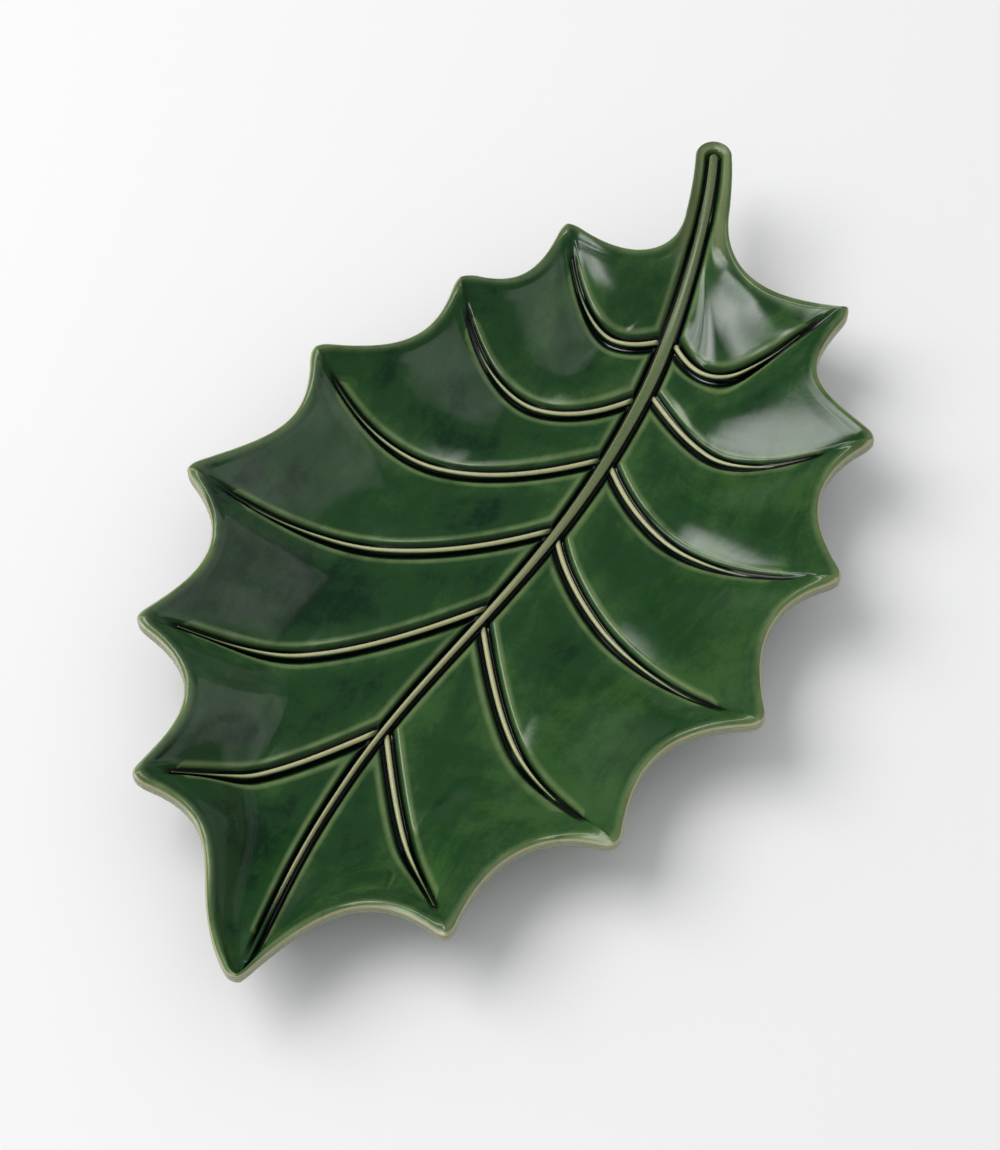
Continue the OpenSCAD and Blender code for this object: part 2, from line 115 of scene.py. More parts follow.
# Each bay of the rim: angle it leaves the upper spine at, length of that handle,
# then the same where it meets the lower spine
BAY_SHARES = (
    ((76, 0.37, 45, 0.63), (36, 0.50, 45, 0.46), (43, 0.32, 33, 0.62), (44, 0.41, 22, 0.58),
     (57, 0.58, 31, 0.42), (57, 0.72, 26, 0.34), (50, 0.53, -3, 0.55)),
    ((52, 0.43, 21, 0.39), (51, 0.57, 32, 0.64), (56, 0.50, 37, 0.50), (59, 0.53, 34, 0.41),
     (50, 0.64, 38, 0.40), (68, 0.32, 43, 0.71), (60, 0.57, 39, 0.53)))
LAST_BAY = 6
SIDES = (0, 1)
SIDE_NAMES = ("left", "right")

# Rows beside a rib, by their distance from its line
GROOVE_ROWS = [d * MM for d in (0, 0.6, 1.2, 1.5, 1.8, 2.1, 2.4, 2.7, 3.0, 3.3, 3.6, 3.9, 4.3, 4.8)]
PANEL_ROWS = 28
TIP_ROWS = 34
NECK_ROWS = 26
STEM_ROWS = 16
FAN_ROWS = 16
BANK_COLUMNS = 14
FIELD_COLUMNS = 52
CREASE_COLUMNS = 8
LIP_COLUMNS = 9
WALL_COLUMNS = 4
UNDER_COLUMNS = 5
SOLE_COLUMNS = 24
# How strongly the columns of a panel crowd towards the midrib's groove
FIELD_CROWD = 1.3
# Greatest shares of a short row for the midrib's side and the two ends of its bank,
# for the crease and the lip, and for the rounding underneath
NEAR_CAPS = (0.3, 0.35, 0.58)
RIM_CAPS = (0.24, 0.13)
UNDER_CAP = 0.12
# Gap, in millimetres, from a groove's shoulder that stands for no groove near
NO_GROOVE = 40
# Share of a row over which its reach is measured
PROBE = 0.04
JOIN_DISTANCE = 2e-6

VEIN_SECTIONS = 96
MIDRIB_SECTIONS = 300
ROUND_SECTIONS = 8
RING_TURNS = np.linspace(0, math.pi, 15)
# How full a rib is over the top: less is fuller
VEIN_CROWN = 0.75
MIDRIB_CROWN = 0.8
SINK = 0.35 * MM
ROOT_LENGTH = 1.6 * MM
# Where a side vein ends, as a share of the way from its root to the crease
VEIN_LAST_SHARE = 0.94
# Shares of its width and height that a side vein keeps at its blunt root, and where it has run out
ROOT_KEEPS = (0.25, 0.15)
OUT_KEEPS = (0.6, 0.1)
# The same for the midrib's round end, and for its height alone at the tip
END_KEEPS = (0.05, 0.15)
TIP_KEEPS = 0.12
# Way past the first station of its groove at which the midrib starts
MIDRIB_START_SHARE = 0.006

# Noises of the materials: scale, detail, roughness and distortion
CLOUDS = (13.0, 5.0, 0.62, 1.0)
BLOTS = (52.0, 4.0, 0.65, 0.4)
STREAKS = (95.0, 4.0, 0.6, 0.8)
GRAIN = (620.0, 3.0, 0.6)
WAVES = (24.0, 2.0, 0.5)
DIMPLES = (260.0, 2.0, 0.5)
CLAY_GRAIN = (700.0, 5.0, 0.65)
CLAY_STAIN = (40.0, 3.0, 0.5)
CARD_NOISE = (1.6, 3.0, 0.6)
# How the streaks' places are scaled first, which draws them out along the leaf
STREAK_SCALE = (1.0, 0.36, 1.0)

# Ramps: a value that rises from the first number to the second gives the third to the fourth.
# Tone of the glaze from its noises, its colours and gloss
CLOUD_TONE = (0.34, 0.68, 0, 0.46)
BLOT_TONE = (0.33, 0.68, 0, 0.24)
STREAK_TONE = (0.34, 0.66, 0, 0.22)
GRAIN_TONE = (0.3, 0.7, 0, 0.1)
USUAL_TONE = (0.12, 0.55, 0, 1)
BRIGHT_TONE = (0.55, 1.15, 0, 1)
DARK_POOL = (0.3, 0.84, 0, 1)
GLOSS = (0.3, 0.7, 0.09, 0.14)
# Leaf blade, by how much it is stem, by its reach over a panel, by the gap from a groove or by place; the
# ramp by place paints shade over the leaf's left half and light over its right half
STEM_POOLS = (0, 1, 1, 0.68)
STEM_LIP = (0, 0.8, 1, 0.1)
STEM_CLAY = (0.1, 0.9, 0, 1)
STEM_BEADS = (0.5, 0.7, 0.1, 1)
RIM_LIGHT = (0.35, 0.95, 0, 0.2)
GROOVE_LIGHT = (0.0, 11.0, 0.3, 0)
RIGHT_SIDE_PAINTED_LIGHT = (-0.1, 0.06, -0.24, 0.1)
# Leaf blade, by the turn of its rim
BEADS_END = (0.1, 1.6, 1, 0.1)
WALL_CLAY = (1.8, 2.0, 0, 1)
WALL_SHADE = (2.2, 2.5, 0, 1)
WALL_SHADE_END = (2.5, 2.75, -0.35, 0)
# Side veins, by the way along them or by their crest
VEIN_NARROWING = (0.1, 0.92, 0.0, 0.38)
VEIN_ROOT = (0.0, 0.03, 0.2, 1)
VEIN_POOLS = (0.3, 0.62, 1.0, 0.0)
VEIN_THIN = (0.56, 0.78, 0, 1)
VEIN_LIGHT = (0.4, 0.9, 0, 0.7)
# Midrib, by its station or by its crest
MIDRIB_TIP = (0.07, 0.15, 0, 1)
MIDRIB_OLIVE = (0.35, 0.7, 0, 1)
MIDRIB_BACK = (0.4, 0.7, 0.08, 1)
MIDRIB_POOLS = (0.35, 0.62, 1.0, 0.0)
MIDRIB_THIN = (0.5, 0.72, 0, 1)
MIDRIB_TOP = (0.78, 0.94, 0, 1)
# Bare clay, by its noises, and patches on a card
STAIN = (0.35, 0.7, 0, 0.6)
SPOTS = (0.55, 0.75, 0, 0.5)
CLAY_ROUGHNESS = (0.3, 0.7, 0.72, 0.9)
CARD_PATCHES = (0.35, 0.65, 0.6, 1.3)

# Bands: where each starts, is full, starts to fade and has ended, and its strength.
# The first goes by the gap from a groove, the others by the turn of the rim
GROOVE_LINE = (-1.2, -0.2, 0.0, 2.1, 0.9)
LIP_BAND = (0.4, 1.35, 2.0, 2.3, 0.85)
CLAY_LINE = (1.4, 1.62, 1.82, 1.95, 0.9)
WALL_BAND = (1.9, 2.1, 2.9, 3.2, 0.9)

# How noise breaks up the brinks, as gain and level, and gain alone for the thin glaze and the pools
BRINK_BREAKS = (1.7, 0.95)
THIN_BREAKS = 0.5
POOL_BREAKS = 0.3
# Roughness that a full brink and full thin glaze add
BRINK_ROUGHNESS = 0.07
THIN_ROUGHNESS = 0.16
# Height of the dimples and the blots beside that of the waves, and a stain's colour beside the clay's
DIMPLE_SHARE = 0.05
BLOT_SHARE = 0.14
STAIN_SHARE = 0.62
# Strength and distance of a material's bumps
GLAZE_BUMP = (0.35, 0.8 * MM)
CLAY_BUMP = (0.4, 0.15 * MM)
GLAZE_IOR = 1.5
GLAZE_SOCKETS = (
    ("INPUT", "Float", ("Pooled", "Brink", "Thin", "Bright")), ("INPUT", "Color", ("Thin colour",)),
    ("OUTPUT", "Color", ("Colour",)), ("OUTPUT", "Float", ("Roughness", "Height")))


def length(name, description, default, low, high):
    """A setting for a length, given in millimetres."""
    return FloatProperty(name=name, description=description, default=default * MM,
                         min=low * MM, max=high * MM, unit="LENGTH")


def colour(name, description, default):
    return FloatVectorProperty(name=name, description=description, default=default,
                               min=0, max=1, size=3, subtype="COLOR")


class PlateSettings(bpy.types.PropertyGroup):
    """Sizes and colours of the plate"""

    leaf_length: length("Leaf length", "Length that the stations are shares of", 403.5, 360, 440)
    leaf_width: length("Leaf width", "Width that the reaches are shares of", 240, 220, 260)
    body_thickness: length("Body thickness", "Thickness of the pressed body", 6.5, 6, 7.5)
    foot_height: length("Foot height", "Height of the foot ring under the body", 5, 4.5, 6)
    rim_rise: length("Rim rise", "Rise of the spines above the flat well", 25.5, 20, 30)
    neck_rise: length("Neck rise", "Rise of the rim where the stem joins the leaf", 25, 20, 29)
    stem_rise: length("Stem rise", "Rise of the rim at the stem end", 27.5, 22, 32)
    stem_dish: length("Stem dish", "Height of the stem's rims above its middle", 1.5, 1, 2)
    stem_half: length("Stem half width", "Half width of the stem at its round end", 7.2, 6.8, 7.8)
    neck_left: length(
        "Neck left", "Reach of the stem left of the middle line where it joins the leaf", 7.2, 6.8, 8)
    neck_right: length(
        "Neck right", "Reach of the stem right of the middle line where it joins the leaf", 9.8, 9, 10.4)
    dip_share: FloatProperty(
        name="Bay dip", description="Dip of the rim between two spines, as a share of the bay's width",
        default=0.1, min=0.06, max=0.14, subtype="FACTOR")
    spine_round: length(
        "Spine rounding", "Length of rim that is rounded on each side of a spine", 8, 6, 9)
    pillow_height: length("Panel swell", "Height that each panel swells between its ribs", 1.3, 0, 1.6)
    edge_thickness: length(
        "Edge thickness", "Height of the upright edge with its roundings", 6.2, 5.8, 6.4)
    crease_inset: length(
        "Crease inset", "Distance from the edge to the soft crease inside the rim", 5.5, 5, 6.5)
    crease_depth: length("Crease depth", "Depth of the soft crease inside the rim", 0.17, 0, 0.6)
    lip_inset: length("Lip inset", "Distance from the edge to the top of the lip", 2.2, 1.8, 2.6)
    lip_round: length("Lip rounding", "Drop of the rounding outside the lip", 1.6, 1.2, 2)
    under_round: length("Lower rounding", "Rounding under the edge", 1.6, 1.2, 2)
    midrib_half: length("Midrib half width", "Half width of the midrib where it is widest", 2.6, 2, 3)
    midrib_height: length("Midrib height", "Height of the midrib above its groove", 3.2, 2.8, 3.4)
    midrib_groove: length("Midrib groove", "Depth of the groove along the midrib", 2.4, 1.8, 2.6)
    vein_half: length("Vein half width", "Half width of a side vein", 1.15, 1, 1.4)
    vein_height: length("Vein height", "Height of a side vein above its groove", 2.5, 2.2, 3)
    vein_groove: length("Vein groove", "Depth of the groove along a side vein", 2, 1.5, 2.2)
    bank_start: length(
        "Bank start", "Distance beyond a rib's side where its groove starts to rise", 0.4, 0.2, 1.4)
    bank_end: length(
        "Bank end", "Distance beyond the midrib's side where its groove meets the panel", 3, 2.4, 4.2)
    glaze: colour("Glaze", "Green of the glaze at its usual depth", (0.0145, 0.054, 0.0155))
    # On the leaf blade the deep and bright greens also carry painted shade over its left half and painted
    # light over its right half
    deep_glaze: colour(
        "Deep glaze", "Bluish green where the glaze lies deep in a panel", (0.0055, 0.025, 0.0095))
    bright_glaze: colour(
        "Bright glaze", "Green where the glaze lies thinner on a panel", (0.036, 0.098, 0.025))
    brink_glaze: colour(
        "Brink glaze", "Yellowish green of the thin glaze along grooves and rim", (0.122, 0.188, 0.07))
    pooled_glaze: colour(
        "Pooled glaze", "Near black of the glaze that pools in the grooves", (0.0018, 0.0028, 0.0026))
    thin_glaze: colour(
        "Thin glaze", "Pale glaze that breaks over the crests of the veins", (0.47, 0.47, 0.25))
    midrib_glaze: colour(
        "Midrib glaze", "Olive glaze over the broad back of the midrib", (0.11, 0.155, 0.062))
    midrib_edge_glaze: colour(
        "Midrib edge glaze", "Paler olive where the glaze breaks over the midrib's edges",
        (0.22, 0.26, 0.115))
    rim_clay: colour("Rim clay", "Clay that shows through on the edge of the rim", (0.42, 0.4, 0.23))
    wall_glaze: colour(
        "Wall glaze", "Grey olive of the thin glaze on the upright edge", (0.3, 0.31, 0.195))
    stem_glaze: colour("Stem glaze", "Olive of the thin glaze over the stem", (0.15, 0.195, 0.078))
    bare_clay: colour("Bare clay", "Unglazed clay of the foot ring", (0.55, 0.42, 0.28))
    key_power: FloatProperty(
        name="Window light", description="Strength of the large soft light at the upper left",
        default=43.0, min=0, unit="POWER")
    floor_colour: colour("Floor colour", "Colour of the pale floor", (0.93, 0.93, 0.932))


# One line of points across the leaf: its kind, its bay, and a share, a distance or an angle
Row = namedtuple("Row", "kind bay value")


def curve(points, share):
    """Point of a curve that its control points pull, at each share of its length."""
    share = np.asarray(share, float)[..., None]
    level = [np.asarray(p, float) for p in points]
    while len(level) > 1:
        level = [a + share * (b - a) for a, b in zip(level[:-1], level[1:])]
    return level[0] + 0 * share


def slope(points, share):
    """Direction and speed of that curve."""
    arms = [np.subtract(b, a) for a, b in zip(points[:-1], points[1:])]
    return (len(points) - 1) * curve(arms, share)


def straight(a, b):
    """Control points of a curve that runs straight from a to b."""
    return [mix(a, b, k / 3) for k in range(4)]


def cross(a, b):
    return a[..., 0] * b[..., 1] - a[..., 1] * b[..., 0]


def unit(v):
    return v / np.linalg.norm(v, axis=-1, keepdims=True)


def mix(a, b, share):
    return a + (b - a) * share


def ease(x):
    x = np.clip(x, 0, 1)
    return x * x * (3 - 2 * x)


def ease_over(x, span):
    """Soft rise from 0 to 1 over a span."""
    return ease((x - span[0]) / (span[1] - span[0]))


def steps(count):
    """Evenly spaced shares up to 1, without the 0."""
    return np.arange(1, count + 1) / count


def quarter_turns():
    return np.linspace(0, math.pi / 2, ROUND_SECTIONS + 1)[1:]


def turned(v, degrees):
    a = math.radians(degrees)
    return np.array([v[0] * math.cos(a) - v[1] * math.sin(a), v[0] * math.sin(a) + v[1] * math.cos(a)])


def hand(side):
    return -1 if side == 0 else 1


def wall(share, flat, power):
    return np.clip((share - flat) / (1 - flat), 0, 1) ** power


def deeper(a, b):
    """Depth where two grooves meet: the deeper one's, with a soft change between them."""
    return (a ** GROOVE_BLEND + b ** GROOVE_BLEND) ** (1 / GROOVE_BLEND)


def taper(share):
    """Width of a groove and its rib at each share of a row, as a share of their full width."""
    return mix(1, TAPER_TO, ease_over(share, TAPER))


def share_of(distance, reach, cap):
    """A distance as a share of a row's reach, but no more than its cap."""
    return distance / reach if reach * cap > distance else cap


class LeafForm:
    """The leaf's lines, bays and heights, worked out from the settings."""

    def __init__(self, settings):
        self.size = settings
        self.well = settings.foot_height + settings.body_thickness
        self.rim_top = self.well + settings.rim_rise
        self.neck_top = self.well + settings.neck_rise
        self.stem_top = self.well + settings.stem_rise
        self.shoulder = GROOVE_ROWS[-1]
        last = len(MIDRIB_REACH_SHARES) - 1
        self.mid_line = [self.place((reach, k / last)) for k, reach in enumerate(MIDRIB_REACH_SHARES)]
        self.neck_reaches = (settings.neck_left, settings.neck_right)
        self.stations = []
        self.lines = []
        self.bays = []
        for side in SIDES:
            ribs = RIB_SHARES[side]
            neck = self.mid_at(NECK_SHARE)
            lines = [straight(neck, neck + self.across(NECK_SHARE, side) * self.neck_reaches[side])]
            lines += [[self.mid_at(root), *[self.place(p) for p in places]] for root, *places in ribs]
            lines.append(straight(self.mid_at(LAST_SHARE), self.mid_at(0)))
            self.lines.append(lines)
            self.stations.append([NECK_SHARE] + [r[0] for r in ribs] + [LAST_SHARE])
            bays = []
            way = hand(side)
            for k, (leave, leave_arm, arrive, arrive_arm) in enumerate(BAY_SHARES[side]):
                a, b = lines[k][3], lines[k + 1][3]
                bays.append([a, a + leave_arm * turned(b - a, -way * leave),
                             b - arrive_arm * turned(b - a, way * arrive), b])
            self.bays.append(bays)
        edge = np.array([self.point(side, row, np.ones(1))[0] for side in SIDES for row in leaf_rows()])
        low, high = edge.min(0), edge.max(0)
        cad_low, cad_high = [np.array(corner)[:2] for corner in BLADE_BOX]
        self.own_middle = (low + high) / 2
        self.fit_scale = np.minimum((cad_high - cad_low) / (high - low), 1)
        self.frame_middle = (cad_low + cad_high) / 2

    def to_frame(self, points):
        """Points of the leaf's own plan, moved into the plate's frame."""
        moved = np.array(points, float)
        moved[..., :2] = (moved[..., :2] - self.own_middle) * self.fit_scale + self.frame_middle
        return moved

    def place(self, shares):
        return np.array([shares[0] * self.size.leaf_width, shares[1] * self.size.leaf_length])

    def mid_at(self, station):
        return curve(self.mid_line, station)

    def ahead(self, station):
        return unit(slope(self.mid_line, station))

    def across(self, station, side):
        ahead = self.ahead(station)
        return hand(side) * np.stack([ahead[..., 1], -ahead[..., 0]], axis=-1)

    def mid_height(self, station):
        stem = (self.stem_top - self.size.stem_dish - self.well) * ease_over(station, (STEM_RISE_SHARE, 1))
        tip = np.clip((TIP_RISE_SHARE - station) / TIP_RISE_SHARE, 0, 1) ** TIP_RISE_POWER
        return self.well + stem + self.size.rim_rise * tip

    def midrib_half(self, station):
        return self.size.midrib_half * np.interp(station, *zip(*MIDRIB_WIDTH_SHARES))

    def midrib_strength(self, station):
        return ease_over(station, MIDRIB_OUT)

    def rim_height(self, side, bay, u):
        a, b = self.bays[side][bay][0], self.bays[side][bay][3]
        start = self.neck_top if bay == 0 else self.rim_top
        dip = self.size.dip_share * np.linalg.norm(b - a) * math.sin(math.pi * u)
        return mix(start, self.rim_top, u) - dip

    def panel_point(self, side, bay, u, v):
        """Point of the panel under a bay: u from line to line, v from the midrib to the rim."""
        a, b = self.lines[side][bay], self.lines[side][bay + 1]
        start, end = self.stations[side][bay], self.stations[side][bay + 1]
        u1, v1 = u[..., None], v[..., None]
        return ((1 - v1) * self.mid_at(mix(start, end, u)) + v1 * curve(self.bays[side][bay], u)
                + (1 - u1) * curve(a, v) + u1 * curve(b, v)
                - (1 - u1) * ((1 - v1) * a[0] + v1 * a[3]) - u1 * ((1 - v1) * b[0] + v1 * b[3]))

    def spread(self, side, bay, end, v):
        """How fast the panel spreads from its first line, at end 0, or to its last, at end 1."""
        a, b = self.lines[side][bay], self.lines[side][bay + 1]
        start, stop = self.stations[side][bay], self.stations[side][bay + 1]
        v1 = v[..., None]
        run = ((1 - v1) * (stop - start) * slope(self.mid_line, stop if end else start)
               + v1 * slope(self.bays[side][bay], end) + curve(b, v) - curve(a, v)
               - (1 - v1) * (b[0] - a[0]) - v1 * (b[3] - a[3]))
        along = slope(b if end else a, v)
        return np.abs(cross(run, along)) / np.linalg.norm(along, axis=-1)

    def drawn_back(self, point, line, rim_point, follow):
        """The point moved back where the spine at the end of a line is rounded, as far as it follows."""
        near = np.clip(1 - np.linalg.norm(rim_point - line[3], axis=-1) / self.size.spine_round, 0, 1)
        back = self.size.spine_round * SPINE_BACK_SHARE * near ** 2 * follow
        return point - unit(line[3] - line[2]) * back[..., None]

    def row_u(self, side, row, v):
        """Place of a row across its panel, at each share v of its length."""
        one = np.ones_like(v)
        if row.kind == "after":
            return row.value / self.spread(side, row.bay, 0, v)
        if row.kind == "before":
            return 1 - row.value / self.spread(side, row.bay, 1, v)
        if row.kind == "tip":
            return one
        start = 0 * one if row.bay == 0 else self.shoulder / self.spread(side, row.bay, 0, v)
        end = one if row.bay == LAST_BAY else 1 - self.shoulder / self.spread(side, row.bay, 1, v)
        return mix(start, end, row.value)

    def station(self, side, row):
        if row.kind == "fan":
            return STEM_END_SHARE
        if row.kind == "stem":
            return mix(STEM_END_SHARE, NECK_SHARE, row.value)
        u = self.row_u(side, row, np.zeros(1))[0]
        return mix(self.stations[side][row.bay], self.stations[side][row.bay + 1], u)

    def shared_station(self, row):
        """Station at which the two sides' rows meet on the middle line."""
        return (self.station(0, row) + self.station(1, row)) / 2

    def point(self, side, row, v):
        v = np.asarray(v, float)
        if row.kind in ("fan", "stem"):
            s = self.station(side, row)
            turn = math.radians(row.value) if row.kind == "fan" else math.pi / 2
            opened = 0 if row.kind == "fan" else row.value
            reach = mix(self.size.stem_half, self.neck_reaches[side], opened)
            out = math.cos(turn) * self.ahead(s) + math.sin(turn) * self.across(s, side)
            return self.mid_at(s) + v[..., None] * reach * out
        u = self.row_u(side, row, v)
        rim_point = curve(self.bays[side][row.bay], u)
        p = self.panel_point(side, row.bay, u, v)
        if row.bay > 0:
            p = self.drawn_back(p, self.lines[side][row.bay], rim_point, v ** SPINE_FOLLOW)
        follow = v ** (TIP_FOLLOW if row.bay == LAST_BAY else SPINE_FOLLOW)
        return self.drawn_back(p, self.lines[side][row.bay + 1], rim_point, follow)

    def near_reach(self, side, row):
        """Distance that a row would move off the middle line at the speed it starts with."""
        if row.kind == "tip":
            return 0.0
        ends = self.point(side, row, np.array([0, PROBE]))
        step = ends[1] - ends[0]
        if row.kind in ("fan", "stem"):
            return np.linalg.norm(step) / PROBE
        return abs(cross(step, self.ahead(self.station(side, row)))) / PROBE

    def rim_reach(self, side, row):
        """Distance that a row would move off the rim at the speed it ends with."""
        if row.kind in ("fan", "stem"):
            ends = self.point(side, row, np.array([0.0, 1.0]))
            return np.linalg.norm(ends[1] - ends[0])
        u = self.row_u(side, row, np.ones(1))
        ends = self.panel_point(side, row.bay, np.repeat(u, 2), np.array([1 - PROBE, 1]))
        return abs(cross(ends[1] - ends[0], unit(slope(self.bays[side][row.bay], u))[0])) / PROBE

    def landmarks(self, side, row, shared):
        """Shares of a row at the midrib's side, the start and end of its bank, the crease and the lip."""
        size = self.size
        half = self.midrib_half(shared)
        near, reach = self.near_reach(side, row), self.rim_reach(side, row)
        inner = zip((half, half + size.bank_start, half + size.bank_end), NEAR_CAPS)
        outer = zip((size.crease_inset, size.lip_inset), RIM_CAPS)
        return ([share_of(d, near, cap) for d, cap in inner]
                + [1 - share_of(d, reach, cap) for d, cap in outer])

    def rim_top_of(self, side, row):
        if row.kind == "fan":
            return self.stem_top
        if row.kind == "stem":
            return mix(self.stem_top, self.neck_top, ease(row.value))
        return self.rim_height(side, row.bay, float(self.row_u(side, row, np.ones(1))[0]))

    def top_height(self, side, row, shared, share):
        """Height of the dish without its grooves, at each share of a row's way to the lip."""
        base = self.mid_height(shared)
        return base + (self.rim_top_of(side, row) - base) * wall(share, FLAT_SHARE, WALL_POWER)


def crowded(share):
    """A share of a panel's width, crowded towards its two grooves."""
    return (1 - math.cos(math.pi * share)) / 2


def leaf_rows():
    """All rows of a side from the stem end to the leaf tip."""
    rows = [Row("fan", 0, 90 * i / FAN_ROWS) for i in range(FAN_ROWS + 1)]
    rows += [Row("stem", 0, i / STEM_ROWS) for i in range(1, STEM_ROWS + 1)]
    rows += [Row("panel", 0, i / NECK_ROWS) for i in range(1, NECK_ROWS + 1)]
    for bay in range(1, LAST_BAY + 1):
        rows += [Row("before", bay - 1, d) for d in reversed(GROOVE_ROWS[1:-1])]
        rows += [Row("after", bay, d) for d in GROOVE_ROWS[:-1]]
        if bay < LAST_BAY:
            rows += [Row("panel", bay, crowded(i / PANEL_ROWS)) for i in range(PANEL_ROWS + 1)]
    rows += [Row("panel", LAST_BAY, math.sin(math.pi / 2 * i / TIP_ROWS)) for i in range(TIP_ROWS)]
    return rows + [Row("tip", LAST_BAY, 1)]


def vein_depth(form, row, share):
    """Depth of a side vein's groove under a row, at each share of its length."""
    if row.kind not in ("before", "after"):
        return 0 * share
    size = form.size
    narrow = taper(share)
    start, end = (size.vein_half + size.bank_start) * narrow, form.shoulder * narrow
    bank = ease((end - row.value) / (end - start))
    return size.vein_groove * bank * (1 - ease_over(share, GROOVE_OUT))


def groove_gap(form, side, row, v, share, shared):
    """Gap in millimetres from the nearest groove's shoulder, which grows where that groove runs out."""
    middle = form.near_reach(side, row) * v - form.midrib_half(shared) - form.size.bank_end
    gaps = [middle / MM + NO_GROOVE * (1 - form.midrib_strength(shared))]
    distances = [row.value] if row.kind in ("before", "after") else []
    if row.kind == "panel":
        u = form.row_u(side, row, v)
        if row.bay > 0:
            distances.append(u * form.spread(side, row.bay, 0, v))
        if row.bay < LAST_BAY:
            distances.append((1 - u) * form.spread(side, row.bay, 1, v))
    run_out = NO_GROOVE * ease_over(share, GROOVE_OUT)
    gaps += [(distance - form.shoulder * taper(share)) / MM + run_out for distance in distances]
    return np.minimum(np.minimum.reduce(gaps), NO_GROOVE)


def blade_row(form, side, row, shared):
    """Points and masks of one row, from the middle line over the rim and back underneath."""
    size = form.size
    reach = form.rim_reach(side, row)
    floor_v, start_v, end_v, crease_v, lip_v = form.landmarks(side, row, shared)
    under_v = 1 - share_of(size.under_round, reach, UNDER_CAP)
    lip_steps, wall_steps, under_steps = steps(LIP_COLUMNS), steps(WALL_COLUMNS), steps(UNDER_COLUMNS)
    inner = np.concatenate([
        [0, floor_v], np.linspace(start_v, end_v, BANK_COLUMNS),
        mix(end_v, crease_v, steps(FIELD_COLUMNS) ** FIELD_CROWD),
        np.linspace(crease_v, lip_v, CREASE_COLUMNS + 1)[1:]])
    lip = mix(lip_v, 1, np.sin(math.pi / 2 * lip_steps))
    under = mix(1, under_v, 1 - np.cos(math.pi / 2 * under_steps))
    sole = np.linspace(under_v, 0, SOLE_COLUMNS + 1)[1:]
    v = np.concatenate([inner, lip, np.ones(WALL_COLUMNS), under, sole])
    flat = form.point(side, row, v)
    flat[0] = flat[-1] = form.mid_at(shared)

    share = v / lip_v
    inner_share = share[:len(inner)]
    bank = 1 - ease_over(inner, (start_v, end_v))
    mid_depth = size.midrib_groove * form.midrib_strength(shared) * bank
    depth = deeper(mid_depth, vein_depth(form, row, inner_share))
    swell = size.pillow_height * math.sin(math.pi * row.value) if row.kind == "panel" else 0
    pillow = swell * np.sin(math.pi * np.clip(inner_share, 0, 1)) * (1 - bank)
    crease = size.crease_depth * min(1.0, reach * RIM_CAPS[0] / size.crease_inset)
    crease_gap = np.abs(crease_v - inner) * reach / CREASE_SPREAD
    top = form.top_height(side, row, shared, inner_share) - depth + pillow - crease * np.exp(-crease_gap ** 2)

    rim, base = form.rim_top_of(side, row), form.mid_height(shared)
    lip_low = rim - size.lip_round
    wall_low = rim - size.edge_thickness + size.under_round
    sole_wall = wall(share[-SOLE_COLUMNS - 1:], SOLE_FLAT_SHARE, SOLE_POWER)
    bottom = base - size.body_thickness + (rim - base) * sole_wall
    gap = rim - size.edge_thickness - bottom[0]
    z = np.concatenate([
        top, rim - size.lip_round * (1 - np.cos(math.pi / 2 * lip_steps)), mix(lip_low, wall_low, wall_steps),
        wall_low - size.under_round * np.sin(math.pi / 2 * under_steps),
        bottom[1:] + gap * (sole / under_v) ** SOLE_BLEND])

    # The rim turns from 0 at the crease over 1 at the top of the lip, 2 and 3 at the ends of
    # the upright edge and 4 past the rounding under it, to 5 at the middle line underneath
    turn = np.concatenate([
        np.zeros(len(inner) - CREASE_COLUMNS), steps(CREASE_COLUMNS),
        1 + lip_steps, 2 + wall_steps, 3 + under_steps, 5 - sole / under_v])
    masks = {"pooled": np.append(depth / size.vein_groove, np.zeros(len(v) - len(inner))),
             "rim_turn": turn, "reach": np.clip(share, 0, 1),
             "groove_gap": groove_gap(form, side, row, v, share, shared),
             "stem": np.full_like(v, ease_over(shared, STEM_GLAZE))}
    return np.column_stack([flat, z]), masks


def linked(name, data):
    """A new object of the scene."""
    obj = bpy.data.objects.new(name, data)
    bpy.context.scene.collection.objects.link(obj)
    return obj


def new_piece(name, points, faces, masks, replaced):
    """A smooth mesh piece that rides on the plate's one body and stands for CAD nodes."""
    mesh = bpy.data.meshes.new(name)
    mesh.from_pydata(points.tolist(), [], faces)
    for key, values in masks.items():
        mesh.attributes.new(key, "FLOAT", "POINT").data.foreach_set("value", np.asarray(values, np.float32))
    bm = bmesh.new()
    bm.from_mesh(mesh)
    bmesh.ops.remove_doubles(bm, verts=bm.verts, dist=JOIN_DISTANCE)
    bmesh.ops.recalc_face_normals(bm, faces=bm.faces)
    bm.to_mesh(mesh)
    bm.free()
    mesh.polygons.foreach_set("use_smooth", np.ones(len(mesh.polygons), bool))
    obj = linked(name, mesh)
    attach(obj, "root")
    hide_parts(*replaced)
    return obj


def strip_faces(rows, columns, offset):
    """Quads between neighbouring rows of a grid of points."""
    return [(offset + r * columns + c, offset + r * columns + c + 1,
             offset + (r + 1) * columns + c + 1, offset + (r + 1) * columns + c)
            for r in range(rows - 1) for c in range(columns - 1)]


def tube_faces(rows, columns):
    """Quads round a row of closed sections, with one face over each end."""
    faces = []
    for r in range(rows - 1):
        for c in range(columns):
            d = (c + 1) % columns
            faces.append((r * columns + c, r * columns + d, (r + 1) * columns + d, (r + 1) * columns + c))
    last = (rows - 1) * columns
    faces.append(tuple(range(columns)))
    faces.append(tuple(last + c for c in reversed(range(columns))))
    return faces


